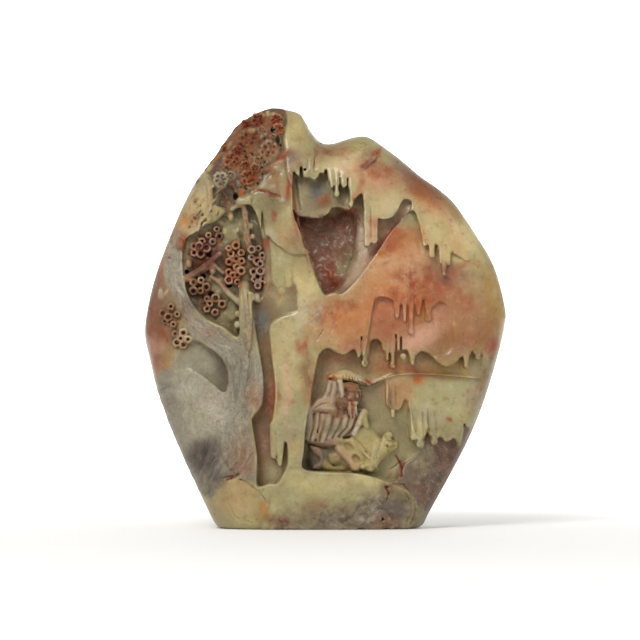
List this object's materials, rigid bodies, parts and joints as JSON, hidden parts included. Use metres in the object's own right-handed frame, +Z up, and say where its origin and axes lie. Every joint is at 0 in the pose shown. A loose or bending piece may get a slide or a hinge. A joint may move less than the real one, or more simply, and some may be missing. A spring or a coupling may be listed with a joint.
{
  "type": "stone landscape carving",
  "caption": "Polished soapstone boulder, cut flat below, carved in deep relief with snowy ledges, a blossoming plum tree and a rider on a donkey.",
  "frame": {"origin": "middle of the flat underside, under the middle of the bounding box", "axes": "+Z up, +X to the right of someone facing the carved front, +Y from the carved front to the plain back"},
  "size_m": [0.1806, 0.0591, 0.2102],
  "materials": {
    "soapstone": "waxed polish"
  },
  "bodies": {
    "root": {"stone_carving": "soapstone"}
  },
  "joints": []
}
